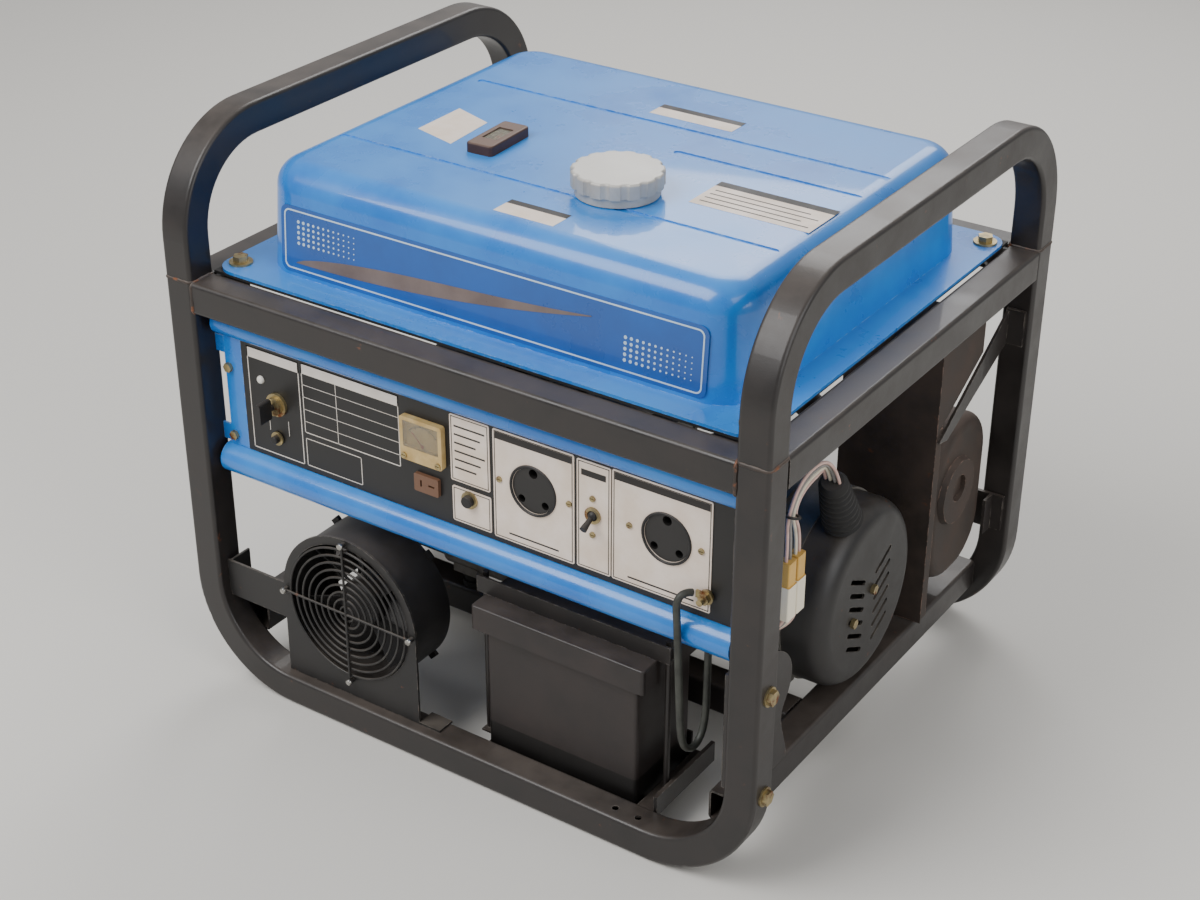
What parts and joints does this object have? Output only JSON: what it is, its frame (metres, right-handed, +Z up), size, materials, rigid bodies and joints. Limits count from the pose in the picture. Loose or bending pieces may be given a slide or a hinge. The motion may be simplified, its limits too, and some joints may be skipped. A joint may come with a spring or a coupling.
{
  "type": "portable generator",
  "caption": "Open-frame portable generator with a blue tank, front control panel, battery, cooling fan and engine-driven alternator.",
  "frame": {"origin": "centre of the bounding box's bottom face", "axes": "+Z up, the control panel faces -Y, +X to the alternator end"},
  "size_m": [0.668, 0.552, 0.593],
  "materials": {
    "frame_paint": "satin",
    "zinc_steel": "satin",
    "black_rubber": "matte",
    "cast_aluminium": "matte",
    "machined_steel": "satin",
    "flywheel_iron": "matte",
    "black_paint": "satin",
    "black_plastic": "matte",
    "muffler_steel": "matte",
    "bright_wire": "bright",
    "battery_plastic": "satin",
    "tray_steel": "satin",
    "blue_paint": "gloss",
    "cream_plastic": "satin",
    "cap_metal": "satin",
    "clear_plastic": "clear",
    "needle_plastic": "matte",
    "cable_sheath": "satin",
    "white_ceramic": "gloss"
  },
  "bodies": {
    "frame": {"frame_hoops": "frame_paint", "carry_handles": "frame_paint", "top_rails": "frame_paint", "base_rails": "frame_paint", "frame_plates": "frame_paint", "frame_bolts": "zinc_steel", "earth_bolt": "zinc_steel", "panel_fittings": "zinc_steel", "rubber_mounts": "black_rubber", "lead_boot": "black_rubber", "fuel_hose": "black_rubber", "crankcase": "cast_aluminium", "cylinder_head": "cast_aluminium", "carburettor": "cast_aluminium", "fuel_valve": "cast_aluminium", "piston": "cast_aluminium", "alternator_ends": "cast_aluminium", "bearings": "machined_steel", "stator": "machined_steel", "blower_housing": "black_paint", "starter_motor": "black_paint", "end_cover": "black_paint", "fan_bracket": "black_paint", "air_cleaner": "black_plastic", "fan_housing": "black_plastic", "panel_face": "black_plastic", "outlets": "black_plastic", "gauge_housing": "black_plastic", "muffler": "muffler_steel", "muffler_guard": "muffler_steel", "fan_guard": "bright_wire", "battery_box": "battery_plastic", "battery_tray": "tray_steel", "panel_housing": "blue_paint", "tank_upper": "blue_paint", "tank_lower": "blue_paint", "panel_plates": "cream_plastic", "voltmeter_case": "cream_plastic", "wire_plugs": "cream_plastic", "dial_glasses": "clear_plastic", "earth_cable": "cable_sheath", "harness_wires": "cable_sheath", "spark_plug": "white_ceramic"},
    "crank": {"crankshaft": "machined_steel", "flywheel": "flywheel_iron", "rotor": "machined_steel"},
    "fan": {"fan_impeller": "black_plastic"},
    "cap_core": {"cap_gasket": "black_rubber"},
    "cap": {"fuel_cap": "cap_metal"},
    "key": {"engine_key": "zinc_steel"},
    "breaker_button_body": {"breaker_button": "black_plastic"},
    "dc_breaker_body": {"dc_breaker_button": "black_plastic"},
    "toggle": {"toggle_lever": "bright_wire"},
    "needle": {"voltmeter_needle": "needle_plastic"},
    "gauge": {"gauge_float": "needle_plastic"},
    "starter_grip": {"recoil_handle": "black_plastic"},
    "pulley": {"recoil_pulley": "black_plastic"},
    "choke": {"choke_lever": "black_plastic"},
    "valve_lever": {"fuel_valve_lever": "zinc_steel"},
    "dipstick": {"oil_dipstick": "black_plastic"}
  },
  "joints": [
    {"name": "crank_spin", "type": "hinge", "parent": "frame", "child": "crank", "pos_m": [0, -0.018, 0.18], "axis": [1, 0, 0], "continuous": true},
    {"name": "fan_spin", "type": "hinge", "parent": "frame", "child": "fan", "pos_m": [-0.137, -0.23, 0.131], "axis": [0, 1, 0], "continuous": true},
    {"name": "cap_lift", "type": "slide", "parent": "frame", "child": "cap_core", "axis": [0, 0, 1], "range_m": [0, 0.05]},
    {"name": "cap_turn", "type": "hinge", "parent": "cap_core", "child": "cap", "pos_m": [0.057, -0.086, 0.57], "axis": [0, 0, 1], "range_deg": [0, 90]},
    {"name": "key_turn", "type": "hinge", "parent": "frame", "child": "key", "pos_m": [-0.22, -0.25, 0.331], "axis": [0, 1, 0], "range_deg": [0, 60]},
    {"name": "breaker_press", "type": "slide", "parent": "frame", "child": "breaker_button_body", "axis": [0, 1, 0], "range_m": [0, 0.0025], "stiffness_N_per_m": 400},
    {"name": "dc_breaker_press", "type": "slide", "parent": "frame", "child": "dc_breaker_body", "axis": [0, 1, 0], "range_m": [0, 0.0025], "stiffness_N_per_m": 400},
    {"name": "toggle_throw", "type": "hinge", "parent": "frame", "child": "toggle", "pos_m": [0.1435, -0.2512, 0.333], "axis": [-1, 0, 0], "range_deg": [0, 50]},
    {"name": "needle_swing", "type": "hinge", "parent": "frame", "child": "needle", "pos_m": [-0.042, -0.25, 0.3425], "axis": [0, 1, 0], "range_deg": [0, 90]},
    {"name": "gauge_swing", "type": "hinge", "parent": "frame", "child": "gauge", "pos_m": [-0.102, -0.05, 0.5], "axis": [0, 0, 1], "range_deg": [0, 35]},
    {"name": "grip_pull", "type": "slide", "parent": "frame", "child": "starter_grip", "axis": [0, -1, 0], "range_m": [0, 0.22]},
    {"name": "pulley_turn", "type": "hinge", "parent": "frame", "child": "pulley", "pos_m": [-0.26, -0.018, 0.18], "axis": [1, 0, 0], "range_deg": [0, 430]},
    {"name": "choke_swing", "type": "hinge", "parent": "frame", "child": "choke", "pos_m": [-0.134, 0.14354, 0.30651], "axis": [0, 0, -1], "range_deg": [0, 35]},
    {"name": "valve_turn", "type": "hinge", "parent": "frame", "child": "valve_lever", "pos_m": [-0.2133, -0.04, 0.405], "axis": [1, 0, 0], "range_deg": [0, 90]},
    {"name": "dipstick_draw", "type": "slide", "parent": "frame", "child": "dipstick", "axis": [0, -0.766, 0.6428], "range_m": [0, 0.05]}
  ],
  "couplings": [
    {"joint": "pulley_turn", "follows": "grip_pull", "rad_per_m": 33.333}
  ]
}
